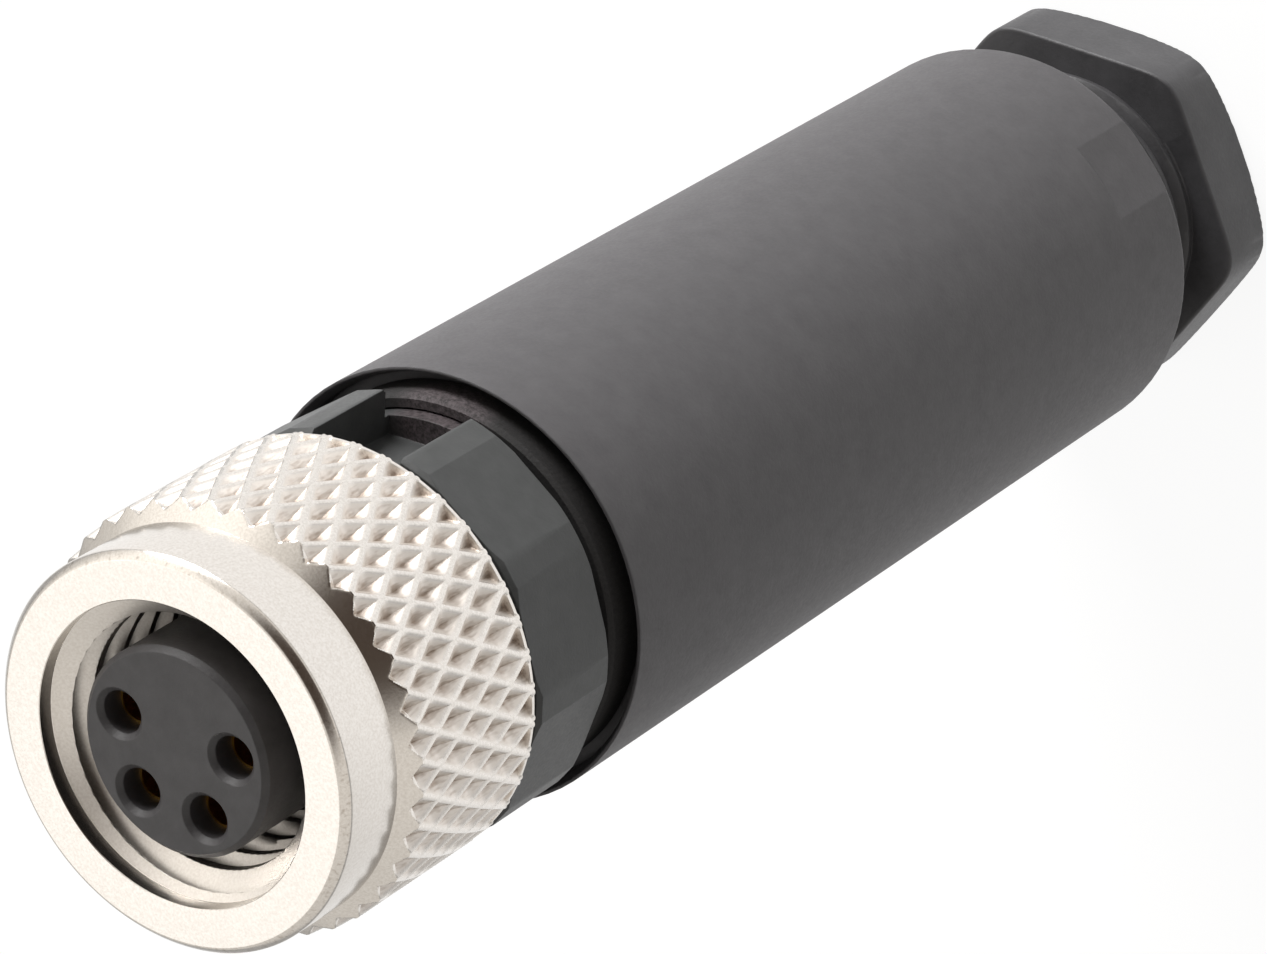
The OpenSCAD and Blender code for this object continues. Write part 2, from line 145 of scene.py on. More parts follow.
# satin black polyester: a close even grain, so the face is dark grey and its holes are black;
# a real mould's grain is about 0.03 mm, and on every moulding here it is drawn coarser so that it shows
polyester = moulded(
    "moulded_polyester", shades=("#373536", "#474546"), grain=0.09 * mm, blotch=0.7 * mm,
    height=0.012 * mm, roughness=0.46, edge=0.05 * mm)
dress(polyester, "contact_carrier", "contact_retainer")

# Face seal: round cord ring of nitrile rubber in the groove at the root of the nose.
# The plug's front edge presses on it when the coupling is tight.


def rubber(name, shades, grain, height, cover=None):
    """Matt cured rubber: dull, with a speckle of filler and mould dust."""
    finish, tree, place = new_finish(name)
    speck = add(tree, "ShaderNodeTexNoise", {
        "Vector": place, "Scale": 1 / grain, "Detail": 3.0, "Roughness": 0.75})
    relief = add(tree, "ShaderNodeBump", {"Height": speck, "Strength": 0.7, "Distance": height})
    colour = blend_colours(tree, speck, [(0.36, shades[0]), (0.66, shades[1])])
    if cover:
        colour = cover(tree, place, colour)
    shader = add(tree, "ShaderNodeBsdfPrincipled", {
        "Base Color": colour, "Roughness": 0.75, "IOR": 1.52, "Normal": relief})
    add(tree, "ShaderNodeOutputMaterial", {"Surface": shader})
    return finish


# black nitrile rubber: nearly black, without a highlight; the filler's specks are finer than a hair, and on
# every rubber here they are drawn coarser so that they show
nitrile = rubber("black_nitrile_rubber", shades=("#191818", "#2a2828"), grain=0.12 * mm, height=0.01 * mm)
dress(nitrile, "face_seal")

# Coupling nut: turned from brass bar, rolled to a diamond knurl on its grip and nickel plated.
# It turns freely behind the carrier's flange, and its thread draws the plug onto the nose.
nut_low, nut_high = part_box("coupling_nut")
nut_r = 5.8 * mm
band_r = 5.3 * mm
band_len = 2.05 * mm
band_z = nut_high.z - band_len
shoulder_h = 0.4 * mm
tip_z = band_z - shoulder_h
nut_chamfer = 0.2 * mm
edge_round = 0.05 * mm
nut_lip = 1.6 * mm
lip_r = 3.0 * mm
seam_r = 4.1 * mm
diamonds = 40
diamond_w = 2 * math.pi * nut_r / diamonds
diamond_h = 1.56 * mm
diamond_depth = 0.28 * mm
ridge_flat = 0.06 * mm
ridge_share = ridge_flat / 2 * math.hypot(1 / diamond_w, 1 / diamond_h)
rim_len = 0.1 * mm
rim_sink = 0.04 * mm
rim_fade = 0.03 * mm
knurl_lead = 0.04 * mm
knurl_turn = math.radians(-75.15)
knurl_z = tip_z + knurl_lead + diamond_h / 2
hard_edge = math.radians(32)


def turned(name, profile, columns, start=0.0):
    """Closed ring turned from a profile of (radius, height) points; a radius may be a rule of the angle."""
    angles = start + np.arange(columns) * 2 * math.pi / columns
    count = len(profile)
    points = np.zeros((count, columns, 3))
    for row, (radius, height) in enumerate(profile):
        r = radius(angles) if callable(radius) else radius
        points[row, :, 0] = r * np.cos(angles)
        points[row, :, 1] = r * np.sin(angles)
        points[row, :, 2] = height
    faces = []
    for row in range(count):
        below = row * columns
        above = (row + 1) % count * columns
        for i in range(columns):
            after = (i + 1) % columns
            faces.append((below + i, below + after, above + after, above + i))
    mesh = bpy.data.meshes.new(name)
    mesh.from_pydata(points.reshape(-1, 3).tolist(), [], faces)
    shell = bmesh.new()
    shell.from_mesh(mesh)
    bmesh.ops.recalc_face_normals(shell, faces=shell.faces)
    shell.to_mesh(mesh)
    shell.free()
    piece = bpy.data.objects.new(name, mesh)
    bpy.context.scene.collection.objects.link(piece)
    return piece


def eased(corners, radius, steps):
    """The inner corners of an open profile, each rounded to a small radius as the tool leaves it."""
    profile = []
    for before, corner, after in zip(corners, corners[1:], corners[2:]):
        here = Vector(corner)
        back = Vector(before) - here
        ahead = Vector(after) - here
        cut = min(radius, back.length / 3, ahead.length / 3)
        start = here + back.normalized() * cut
        end = here + ahead.normalized() * cut
        for k in range(steps + 1):
            t = k / steps
            profile.append(tuple(start * (1 - t) ** 2 + here * 2 * t * (1 - t) + end * t ** 2))
    return profile


def rule_tree(name, sizes):
    """Geometry Nodes tree with a float input for each size and a material, and its group input."""
    tree = bpy.data.node_groups.new(name, "GeometryNodeTree")
    tree.interface.new_socket("Geometry", in_out="INPUT", socket_type="NodeSocketGeometry")
    for size in sizes:
        tree.interface.new_socket(size, in_out="INPUT", socket_type="NodeSocketFloat")
    tree.interface.new_socket("Finish", in_out="INPUT", socket_type="NodeSocketMaterial")
    tree.interface.new_socket("Geometry", in_out="OUTPUT", socket_type="NodeSocketGeometry")
    return tree, add(tree, "NodeGroupInput").node.outputs


def about_axis(tree):
    """A point's height, its vector out from the connector's axis, its radius and its angle."""
    position = add(tree, "GeometryNodeInputPosition")
    axes = add(tree, "ShaderNodeSeparateXYZ", {0: position}).node.outputs
    outward = add(tree, "ShaderNodeCombineXYZ", {"X": axes["X"], "Y": axes["Y"]})
    radius = add(tree, "ShaderNodeVectorMath", {0: outward}, operation="LENGTH").node.outputs["Value"]
    angle = add(tree, "ShaderNodeMath", {0: axes["Y"], 1: axes["X"]}, operation="ARCTAN2")
    return axes["Z"], outward, radius, angle


def close_tree(tree, given, selection, outward, radius, distance):
    """Moves the chosen points out by a distance, makes the geometry real and gives it its finish."""
    share = add(tree, "ShaderNodeMath", {0: distance, 1: radius}, operation="DIVIDE")
    offset = add(tree, "ShaderNodeVectorMath", {0: outward, "Scale": share}, operation="SCALE")
    moved = add(tree, "GeometryNodeSetPosition", {
        "Geometry": given["Geometry"], "Selection": selection, "Offset": offset})
    real = add(tree, "GeometryNodeRealizeInstances", {"Geometry": moved})
    done = add(tree, "GeometryNodeSetMaterial", {"Geometry": real, "Material": given["Finish"]})
    add(tree, "NodeGroupOutput", {"Geometry": done})


def formed(piece, tree, values, crease):
    """Runs the tree on the piece with the named values and keeps the result as a plain mesh."""
    modifier = piece.modifiers.new(tree.name, "NODES")
    modifier.node_group = tree
    for item in tree.interface.items_tree:
        if item.in_out == "INPUT" and item.name in values:
            modifier[item.identifier] = values[item.name]
    evaluated = piece.evaluated_get(bpy.context.evaluated_depsgraph_get())
    mesh = bpy.data.meshes.new_from_object(evaluated)
    piece.modifiers.clear()
    piece.data = mesh
    mesh.name = piece.name
    mesh.shade_smooth()
    mesh.set_sharp_from_angle(angle=crease)


# nickel plate: bright warm-white metal where it was turned, duller and streaked where the knurl was rolled,
# with painted shade in the knurl's pits, and faintly brown where the front chamfer is rubbed;
# grain and streaks are drawn coarser so that they show
plate_grain = 0.07 * mm
plate_relief = 0.003 * mm
streak_w = 0.09 * mm
streak_squeeze = 0.08
streak_weight = 8.0
flank_weight = 0.6
nick_w = 0.13 * mm
nick_strength = 0.4
band_fade = (0.01 * mm, 0.06 * mm)
ridge_fade = (0.09 * mm, 0.025 * mm)
bore_fade = (0.07 * mm, 0.06 * mm)
tip_margin = 0.03 * mm
pale_depth = 0.06 * mm
turned_roughness = 0.2
bore_roughness = 0.36
rolled_roughness = 0.5
nickel, tree, place = new_finish("nickel_plated_brass")
grain = add(tree, "ShaderNodeTexNoise", {
    "Vector": place, "Scale": 1 / plate_grain, "Detail": 2.0, "Roughness": 0.6})
flat_place = add(tree, "ShaderNodeMapping", {"Vector": place, "Scale": (1.0, 1.0, 0.0)})
from_axis = add(tree, "ShaderNodeVectorMath", {0: flat_place}, operation="LENGTH").node.outputs["Value"]
level = add(tree, "ShaderNodeSeparateXYZ", {0: place}).node.outputs["Z"]

# the rolled zone lies outside the band, below the ridge tops and behind the shoulder's tip
past_band = add(tree, "ShaderNodeMapRange", {
    "Value": from_axis, "From Min": band_r + band_fade[0], "From Max": band_r + band_fade[1]})
under_ridge = add(tree, "ShaderNodeMapRange", {
    "Value": from_axis, "From Min": nut_r - ridge_fade[0], "From Max": nut_r - ridge_fade[1],
    "To Min": 1.0, "To Max": 0.0})
behind_tip = add(tree, "ShaderNodeMath", {0: level, 1: tip_z + tip_margin}, operation="LESS_THAN")
pressed = add(tree, "ShaderNodeMath", {0: past_band, 1: under_ridge}, operation="MULTIPLY")
rolled = add(tree, "ShaderNodeMath", {0: pressed, 1: behind_tip}, operation="MULTIPLY")

# streaks run along the nut, and painted shade darkens the pits' flanks towards their bottoms, paler towards
# the ridges
stretched = add(tree, "ShaderNodeMapping", {"Vector": place, "Scale": (1.0, 1.0, streak_squeeze)})
streaks = add(tree, "ShaderNodeTexNoise", {"Vector": stretched, "Scale": 1 / streak_w, "Detail": 1.0})
marks = add(tree, "ShaderNodeMath", {0: streaks, 1: rolled}, operation="MULTIPLY")
height = add(tree, "ShaderNodeMath", {0: marks, 1: streak_weight, 2: grain}, operation="MULTIPLY_ADD")
relief = add(tree, "ShaderNodeBump", {"Height": height, "Strength": 0.3, "Distance": plate_relief})
up_flank = add(tree, "ShaderNodeMapRange", {
    "Value": from_axis, "From Min": nut_r - diamond_depth, "From Max": nut_r - pale_depth})
streaks_and_pit_shade = add(tree, "ShaderNodeMath", {0: up_flank, 1: flank_weight, 2: streaks}, operation="MULTIPLY_ADD")
bright = blend_colours(tree, grain, [(0.35, "#dcd6cf"), (0.65, "#e8e3dd")])
dull_and_pit_shade = blend_colours(tree, streaks_and_pit_shade, [(0.4, "#b2a498"), (0.95, "#e8e1da")])
plate = add(tree, "ShaderNodeMix", {0: rolled, 6: bright, 7: dull_and_pit_shade}, data_type="RGBA").node.outputs[2]

# knocks dull the front chamfer here and there
front_edge = add(tree, "ShaderNodeMapRange", {
    "Value": level, "From Min": nut_high.z - 1.3 * nut_chamfer, "From Max": nut_high.z - nut_chamfer})
outer_edge = add(tree, "ShaderNodeMapRange", {
    "Value": from_axis, "From Min": band_r - 1.2 * nut_chamfer, "From Max": band_r - nut_chamfer})
on_chamfer = add(tree, "ShaderNodeMath", {0: front_edge, 1: outer_edge}, operation="MULTIPLY")
knocks = add(tree, "ShaderNodeTexNoise", {
    "Vector": place, "Scale": 1 / nick_w, "Detail": 3.0, "Roughness": 0.6})
nicks = add(tree, "ShaderNodeMapRange", {
    "Value": knocks, "From Min": 0.54, "From Max": 0.7, "To Min": 0.0, "To Max": nick_strength})
rubbed = add(tree, "ShaderNodeMath", {0: nicks, 1: on_chamfer}, operation="MULTIPLY")
worn = add(tree, "ShaderNodeMix", {
    0: rubbed, 6: plate, 7: linear("#8f7f70")}, data_type="RGBA").node.outputs[2]

# the bore and its thread are a little duller than the turned outside, and the rolled knurl is the dullest
satin = add(tree, "ShaderNodeMapRange", {
    "Value": from_axis, "From Min": seam_r - bore_fade[0], "From Max": seam_r - bore_fade[1],
    "To Min": bore_roughness, "To Max": turned_roughness})
gloss = add(tree, "ShaderNodeMapRange", {"Value": rolled, "To Min": satin, "To Max": rolled_roughness})
shader = add(tree, "ShaderNodeBsdfPrincipled", {
    "Base Color": worn, "Metallic": 1.0, "Roughness": gloss, "Normal": relief})
add(tree, "ShaderNodeOutputMaterial", {"Surface": shader})

# ridges cross at the knurl's turn and start height, and each diamond between them is a pit with soft creases;
# the shoulder's cone cuts the front row off, and the pits stop at a narrow rim
crease_round = 0.2
pit_floor = 0.5 - crease_round / 6
ridge_round = 0.05
knurl, given = rule_tree("diamond_knurl", [
    "Diamonds", "Diamond height", "Pit depth", "Ridge share", "Turn", "Front", "Rear", "Rim", "Rim sink",
    "Tip radius"])
level, outward, radius, angle = about_axis(knurl)
turned_back = add(knurl, "ShaderNodeMath", {0: angle, 1: given["Turn"]}, operation="SUBTRACT")
turns = add(knurl, "ShaderNodeMath", {0: turned_back, 1: 2 * math.pi}, operation="DIVIDE")
across = add(knurl, "ShaderNodeMath", {0: turns, 1: given["Diamonds"]}, operation="MULTIPLY")
drop = add(knurl, "ShaderNodeMath", {0: given["Front"], 1: level}, operation="SUBTRACT")
along = add(knurl, "ShaderNodeMath", {0: drop, 1: given["Diamond height"]}, operation="DIVIDE")
leaning = [add(knurl, "ShaderNodeMath", {0: across, 1: along}, operation=way) for way in ("ADD", "SUBTRACT")]
in_cell = [add(knurl, "ShaderNodeMath", {0: lean}, operation="FRACT") for lean in leaning]
to_end = [add(knurl, "ShaderNodeMath", {0: 1.0, 1: cell}, operation="SUBTRACT") for cell in in_cell]
halves = [add(knurl, "ShaderNodeMath", {0: pair[0], 1: pair[1], 2: crease_round}, operation="SMOOTH_MIN")
          for pair in (in_cell, to_end)]
inside = add(knurl, "ShaderNodeMath", {0: halves[0], 1: halves[1]}, operation="MINIMUM")
slope = add(knurl, "ShaderNodeMapRange", {
    "Value": inside, "From Min": given["Ridge share"], "From Max": pit_floor,
    "To Min": 0.0, "To Max": 1.0}, clamp=False)
pit = add(knurl, "ShaderNodeMath", {0: slope, 1: 0.0, 2: ridge_round}, operation="SMOOTH_MAX")
full = add(knurl, "ShaderNodeMath", {0: pit, 1: given["Pit depth"]}, operation="MULTIPLY")
from_rear = add(knurl, "ShaderNodeMath", {0: level, 1: given["Rear"]}, operation="SUBTRACT")
rim_end = add(knurl, "ShaderNodeMath", {0: given["Rim"], 1: rim_fade}, operation="ADD")
most = add(knurl, "ShaderNodeMapRange", {
    "Value": from_rear, "From Min": given["Rim"], "From Max": rim_end,
    "To Min": given["Rim sink"], "To Max": given["Pit depth"]})
depth = add(knurl, "ShaderNodeMath", {0: full, 1: most}, operation="MINIMUM")
below_tip = add(knurl, "ShaderNodeMath", {0: given["Tip radius"], 1: radius}, operation="SUBTRACT")
cut = add(knurl, "ShaderNodeMath", {0: depth, 1: below_tip}, operation="SUBTRACT")
inward = add(knurl, "ShaderNodeMath", {0: cut, 1: 0.0}, operation="MAXIMUM")
sunk = add(knurl, "ShaderNodeMath", {0: inward, 1: -1.0}, operation="MULTIPLY")
close_tree(knurl, given, True, outward, radius, sunk)

# rows and columns fall on the ridges' crossings, so that every diamond has the same mesh
diamond_steps = 20
row_step = diamond_h / diamond_steps
shoulder_rows = 16
knurl_rows = [nut_low.z, nut_low.z + rim_len, nut_low.z + rim_len + rim_fade]
knurl_rows += [knurl_z - k * row_step for k in range(int((knurl_z - nut_low.z) / row_step), 0, -1)
               if knurl_rows[-1] < knurl_z - k * row_step < tip_z - row_step / 2]
nut_profile = [(nut_r, z) for z in knurl_rows]
nut_profile += [
    (nut_r + (band_r - nut_r) * k / shoulder_rows, tip_z + (band_z - tip_z) * k / shoulder_rows)
    for k in range(shoulder_rows + 1)]
nut_profile += eased([
    (band_r, band_z), (band_r, nut_high.z - nut_chamfer), (band_r - nut_chamfer, nut_high.z),
    (seam_r, nut_high.z)], edge_round, steps=2)
nut_profile += [
    (seam_r, nut_high.z), (seam_r, nut_low.z + nut_lip), (lip_r, nut_low.z + nut_lip), (lip_r, nut_low.z)]
coupling_nut = turned("coupling_nut_body", nut_profile, diamond_steps * diamonds, knurl_turn)
formed(coupling_nut, knurl, {
    "Diamonds": float(diamonds), "Diamond height": diamond_h, "Pit depth": diamond_depth,
    "Ridge share": ridge_share, "Turn": knurl_turn, "Front": knurl_z, "Rear": nut_low.z, "Rim": rim_len,
    "Rim sink": rim_sink, "Tip radius": nut_r, "Finish": nickel}, hard_edge)
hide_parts("coupling_nut")
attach(coupling_nut, "lock_ring")

# Coupling thread: the M8 by 1 turns cut inside the nut, which start below a plain mouth and a flat cone.
# They are one piece with the nut, in the same plated brass.
thread_r = 4.0 * mm
thread_pitch = 1.0 * mm
thread_depth = 0.54125 * thread_pitch
thread_crest_r = thread_r - thread_depth
thread_start = math.radians(75)
thread_low = nut_low.z + nut_lip
thread_runout = 0.3 * mm
mouth_r = 4.05 * mm
mouth_edge = 0.02 * mm
mouth_depth = 0.45 * mm
mouth_z = nut_high.z - mouth_depth
mouth_slope = math.radians(30)

# a thread's groove goes from its crest radius into a round wall, outwards in a bore and inwards on a stem;
# the crest's flat is a quarter of the pitch and the root's is an eighth, as in a metric bore
crest_half = 1 / 8
root_half = 1 / 16
screw, given = rule_tree("screw_thread", [
    "Pitch", "Start", "Crest radius", "Depth", "Inside", "Low", "High"])
level, outward, radius, angle = about_axis(screw)
started = add(screw, "ShaderNodeMath", {0: angle, 1: given["Start"]}, operation="SUBTRACT")
turns = add(screw, "ShaderNodeMath", {0: started, 1: 2 * math.pi}, operation="DIVIDE")
rise = add(screw, "ShaderNodeMath", {0: level, 1: given["Pitch"]}, operation="DIVIDE")
lead = add(screw, "ShaderNodeMath", {0: rise, 1: turns}, operation="SUBTRACT")
from_crest = add(screw, "ShaderNodeMath", {0: lead, 1: 0.5}, operation="PINGPONG")
flank = add(screw, "ShaderNodeMapRange", {
    "Value": from_crest, "From Min": crest_half, "From Max": 0.5 - root_half, "To Min": 0.0, "To Max": 1.0})
groove = add(screw, "ShaderNodeMath", {0: flank, 1: given["Depth"]}, operation="MULTIPLY")
signed_crest = add(screw, "ShaderNodeMath", {
    0: given["Crest radius"], 1: given["Inside"]}, operation="MULTIPLY")
signed_radius = add(screw, "ShaderNodeMath", {0: radius, 1: given["Inside"]}, operation="MULTIPLY")
cut = add(screw, "ShaderNodeMath", {0: signed_crest, 1: groove}, operation="ADD")
deeper = add(screw, "ShaderNodeMath", {0: signed_radius, 1: cut}, operation="MAXIMUM")
grown = add(screw, "ShaderNodeMath", {0: deeper, 1: signed_radius}, operation="SUBTRACT")
push = add(screw, "ShaderNodeMath", {0: grown, 1: given["Inside"]}, operation="MULTIPLY")
above = add(screw, "ShaderNodeMath", {0: level, 1: given["Low"]}, operation="GREATER_THAN")
below = add(screw, "ShaderNodeMath", {0: level, 1: given["High"]}, operation="LESS_THAN")
in_reach = add(screw, "ShaderNodeMath", {0: above, 1: below}, operation="MULTIPLY")
close_tree(screw, given, in_reach, outward, radius, push)

# the turns that can be seen from outside get closer rows than the ones below them
seen_depth = 1.8 * mm
seen_z = mouth_z - seen_depth
seen_rows = 180
hidden_rows = 45
thread_columns = 400
thread_heights = [*np.linspace(mouth_z, seen_z, seen_rows + 1)]
thread_heights += [*np.linspace(seen_z, thread_low, hidden_rows + 1)[1:]]
thread_profile = [
    (seam_r, thread_low), (seam_r, nut_high.z), (mouth_r + mouth_edge, nut_high.z),
    (mouth_r, nut_high.z - mouth_edge)]
for z in thread_heights:
    cone_r = mouth_r - (mouth_z - z) / math.tan(mouth_slope)
    thread_profile.append((max(thread_crest_r, cone_r), z))
coupling_thread = turned("coupling_thread", thread_profile, thread_columns)
formed(coupling_thread, screw, {
    "Pitch": thread_pitch, "Start": thread_start, "Crest radius": thread_crest_r, "Depth": thread_depth,
    "Inside": 1.0, "Low": thread_low + thread_runout, "High": mouth_z, "Finish": nickel}, hard_edge)
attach(coupling_thread, "lock_ring")

# Collar: ten-sided wrench head with a key notch, moulded in glass-filled nylon on the carrier's shank.
# Its threaded spigot screws into the sleeve and holds the insert.
spigot_r = 5.0 * mm
spigot_pitch = 0.75 * mm
spigot_depth = 0.4 * mm
spigot_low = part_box("collar")[0].z
seal_clear = 0.1 * mm
spigot_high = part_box("collar_seal")[0].z - seal_clear
spigot_rows = 56
row_slack = 0.02 * mm
weld = 0.0002 * mm
facet_edge = math.radians(10)
notch_turn = math.radians(-42)
sleeve_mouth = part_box("sleeve")[1].z
# low in the key notch the collar and its seal get pale grit and a painted lit patch, fading out round one
# spot
dust_and_light_r = 5.0 * mm
dust_and_light_z = sleeve_mouth + 0.5 * mm
dust_and_light_at = Vector((dust_and_light_r * math.cos(notch_turn), dust_and_light_r * math.sin(notch_turn), dust_and_light_z))
dust_and_light_reach = 1.6 * mm
dust_and_light_core = 0.6 * dust_and_light_reach
dust_and_light_top = sleeve_mouth + 0.86 * mm
dust_and_light_grit = 0.12 * mm


def dust_and_painted_light(tree, place, colour):
    """Pale grit and painted light over a colour, low in the key notch where the lamp shines in."""
    gap = add(tree, "ShaderNodeVectorMath", {
        0: place, 1: dust_and_light_at}, operation="DISTANCE").node.outputs["Value"]
    near = add(tree, "ShaderNodeMapRange", {
        "Value": gap, "From Min": dust_and_light_core, "From Max": dust_and_light_reach, "To Min": 1.0, "To Max": 0.0})
    height = add(tree, "ShaderNodeSeparateXYZ", {0: place}).node.outputs["Z"]
    low = add(tree, "ShaderNodeMath", {0: height, 1: dust_and_light_top}, operation="LESS_THAN")
    cover = add(tree, "ShaderNodeMath", {0: near, 1: low}, operation="MULTIPLY")
    grit = add(tree, "ShaderNodeTexNoise", {
        "Vector": place, "Scale": 1 / dust_and_light_grit, "Detail": 3.0, "Roughness": 0.75})
    # the pale end of the powder is partly grit and partly painted light
    lit_powder = blend_colours(tree, grit, [(0.36, "#251f20"), (0.64, "#564e50")])
    return add(tree, "ShaderNodeMix", {0: cover, 6: colour, 7: lit_powder}, data_type="RGBA").node.outputs[2]


# satin black nylon: a neutral dark grey with even, soft highlights on its flat sides; low in the key notch,
# pale grit and painted light
collar_nylon = moulded(
    "moulded_nylon", shades=("#383939", "#444545"), grain=0.1 * mm, blotch=0.8 * mm, height=0.01 * mm,
    roughness=0.48, edge=0.05 * mm, cover=dust_and_painted_light)

# the head keeps the CAD form; the spigot below the seal is cut into rows, which the thread's rule moves
collar = bpy.data.objects.new("collar_body", nodes["collar"].data.copy())
bpy.context.scene.collection.objects.link(collar)
shell = bmesh.new()
shell.from_mesh(collar.data)
bmesh.ops.remove_doubles(shell, verts=shell.verts[:], dist=weld)
for k in range(1, spigot_rows + 1):
    row_z = spigot_low + (spigot_high - spigot_low) * k / spigot_rows
    bmesh.ops.bisect_plane(
        shell, geom=shell.verts[:] + shell.edges[:] + shell.faces[:], dist=weld,
        plane_co=(0, 0, row_z), plane_no=(0, 0, 1))
shell.to_mesh(collar.data)
shell.free()
formed(collar, screw, {
    "Pitch": spigot_pitch, "Start": 0.0, "Crest radius": spigot_r, "Depth": spigot_depth, "Inside": -1.0,
    "Low": spigot_low - row_slack, "High": spigot_high - row_slack, "Finish": collar_nylon}, facet_edge)
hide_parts("collar")
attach(collar, "core")

# Collar seal: flat rubber ring that the sleeve's lip closes round.
# Its front edge shows in the gap and in the key notch, rough, with pale grit and painted light in the notch.

# dusty nitrile rubber: a rough, dead black edge with pale grit and a painted lit patch where the notch lays
# it open
dusty_lit_rubber = rubber(
    "dusty_lit_nitrile_rubber", shades=("#161414", "#222020"), grain=0.1 * mm, height=0.03 * mm, cover=dust_and_painted_light)
dress(dusty_lit_rubber, "collar_seal")

# Grip sleeve: round moulding in glass-filled nylon with an eroded, matt outside.
# It screws onto the collar in front and takes the gland nut's neck behind.

# matt nylon: the palest and dullest of the black mouldings, with a soft drift of tone over it
sleeve_nylon = moulded(
    "matt_moulded_nylon", shades=("#484648", "#525052"), grain=0.12 * mm, blotch=0.7 * mm,
    height=0.014 * mm, roughness=0.58, edge=0.1 * mm)
dress(sleeve_nylon, "sleeve")

# Cable seal and clamp cage: soft bush and slotted plastic cage, loose in the sleeve's rear bore.
# The gland nut's cone presses the fingers and the bush onto the cable.

# soft rubber: dull black with a faint speckle
bush_rubber = rubber("soft_gland_rubber", shades=("#1d1c1c", "#2b2a2a"), grain=0.15 * mm, height=0.01 * mm)
dress(bush_rubber, "cable_seal")

# natural acetal: pale waxy grey, smoother and glossier than the black mouldings
acetal = moulded(
    "natural_acetal", shades=("#8f8f88", "#9d9d96"), grain=0.1 * mm, blotch=1.0 * mm, height=0.006 * mm,
    roughness=0.42, edge=0.05 * mm)
dress(acetal, "clamp_cage")

# Gland nut: hexagonal pressing screw moulded in black nylon, with a threaded neck.
# It screws into the sleeve's rear end and lets the cable out through its rear face.
gland_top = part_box("gland_nut")[1].z
hex_across = 10.4 * mm
hex_h = 2.6 * mm
hex_mid = 0.6 * hex_h
hex_tip_r = 5.8 * mm
hex_turn = math.radians(15)
hex_chamfer = 0.54 * mm
hex_cone = math.radians(60)
hex_round = 0.1 * mm
corner_power = 60
neck_r = 4.45 * mm
neck_pitch = 0.75 * mm
neck_depth = 0.4 * mm
neck_end = 0.05 * mm
funnel_r = 3.75 * mm
funnel_z = 6.25 * mm
cone_h = 1.0 * mm
entry_r = 2.75 * mm
entry_chamfer = 0.3 * mm


def hexagon(inset, rear_z=None):
    """Radius of the hexagon with its round corners, less an inset and within the rear cone at a height."""
    def radius(angles):
        face = (angles - hex_turn + math.pi / 6) % (math.pi / 3) - math.pi / 6
        flats = hex_across / 2 / np.cos(face)
        round_off = (flats / mm) ** -corner_power + (hex_tip_r / mm) ** -corner_power
        r = round_off ** (-1 / corner_power) * mm - inset
        if rear_z is not None:
            r = np.minimum(r, hex_tip_r - (hex_chamfer - rear_z) * math.tan(hex_cone))
        return r
    return radius


# black nylon: satin, a shade paler than the collar, with the mould's grain on its six flats
gland_nylon = moulded(
    "black_moulded_nylon", shades=("#3b3a3c", "#49484a"), grain=0.11 * mm, blotch=1.0 * mm,
    height=0.012 * mm, roughness=0.5, edge=0.06 * mm)

# from the cable entry out round the hexagon, up the neck, and back down through the funnel
chamfer_rows = 12
neck_rows = 112
gland_columns = 360
gland_profile = [(entry_r + entry_chamfer, 0.0)]
for k in range(chamfer_rows + 1):
    rear_z = hex_chamfer * k / chamfer_rows
    gland_profile.append((hexagon(0, rear_z), rear_z))
gland_profile.append((hexagon(0), hex_mid))
for turn in range(0, 91, 15):
    t = math.radians(turn)
    gland_profile.append((hexagon(hex_round * (1 - math.cos(t))), hex_h - hex_round * (1 - math.sin(t))))
gland_profile += [(neck_r, hex_h + (gland_top - hex_h) * k / neck_rows) for k in range(neck_rows + 1)]
gland_profile += [
    (funnel_r, gland_top), (funnel_r, funnel_z), (entry_r, funnel_z - cone_h), (entry_r, entry_chamfer)]
gland_nut = turned("gland_nut_body", gland_profile, gland_columns)
formed(gland_nut, screw, {
    "Pitch": neck_pitch, "Start": 0.0, "Crest radius": neck_r, "Depth": neck_depth, "Inside": -1.0,
    "Low": hex_h + row_slack, "High": gland_top - neck_end, "Finish": gland_nylon}, hard_edge)
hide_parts("gland_nut")
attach(gland_nut, "gland")

# Floor: a sheet of white paper under the standing connector, which isn't part of it.
# It is white to the camera, keeps the connector's soft shadow, and glows as a painted pool of light in the
# metal.
floor_half = 1.0
floor_corners = ((-1, -1), (1, -1), (1, 1), (-1, 1))
pool_at = Vector((0.06, -0.05, 0.0))
pool_near = 0.08
pool_far = 0.22
pool_bright = 1.25
pool_dim = 0.4
paper_white = 1.15
paper_glow = 0.78
floor_mesh = bpy.data.meshes.new("floor")
floor_mesh.from_pydata([(x * floor_half, y * floor_half, 0) for x, y in floor_corners], [], [(0, 1, 2, 3)])
floor = bpy.data.objects.new("floor", floor_mesh)
bpy.context.scene.collection.objects.link(floor)
paper, tree, place = new_finish("white_paper")
rays = add(tree, "ShaderNodeLightPath").node.outputs
seen = add(tree, "ShaderNodeMath", {
    0: rays["Is Camera Ray"], 1: rays["Is Glossy Ray"]}, operation="MAXIMUM")
seen = add(tree, "ShaderNodeMath", {0: seen, 1: rays["Is Transmission Ray"]}, operation="MAXIMUM")
lit = add(tree, "ShaderNodeMath", {0: seen, 1: paper_glow}, operation="MULTIPLY")
reach = add(tree, "ShaderNodeVectorMath", {
    0: place, 1: pool_at}, operation="DISTANCE").node.outputs["Value"]
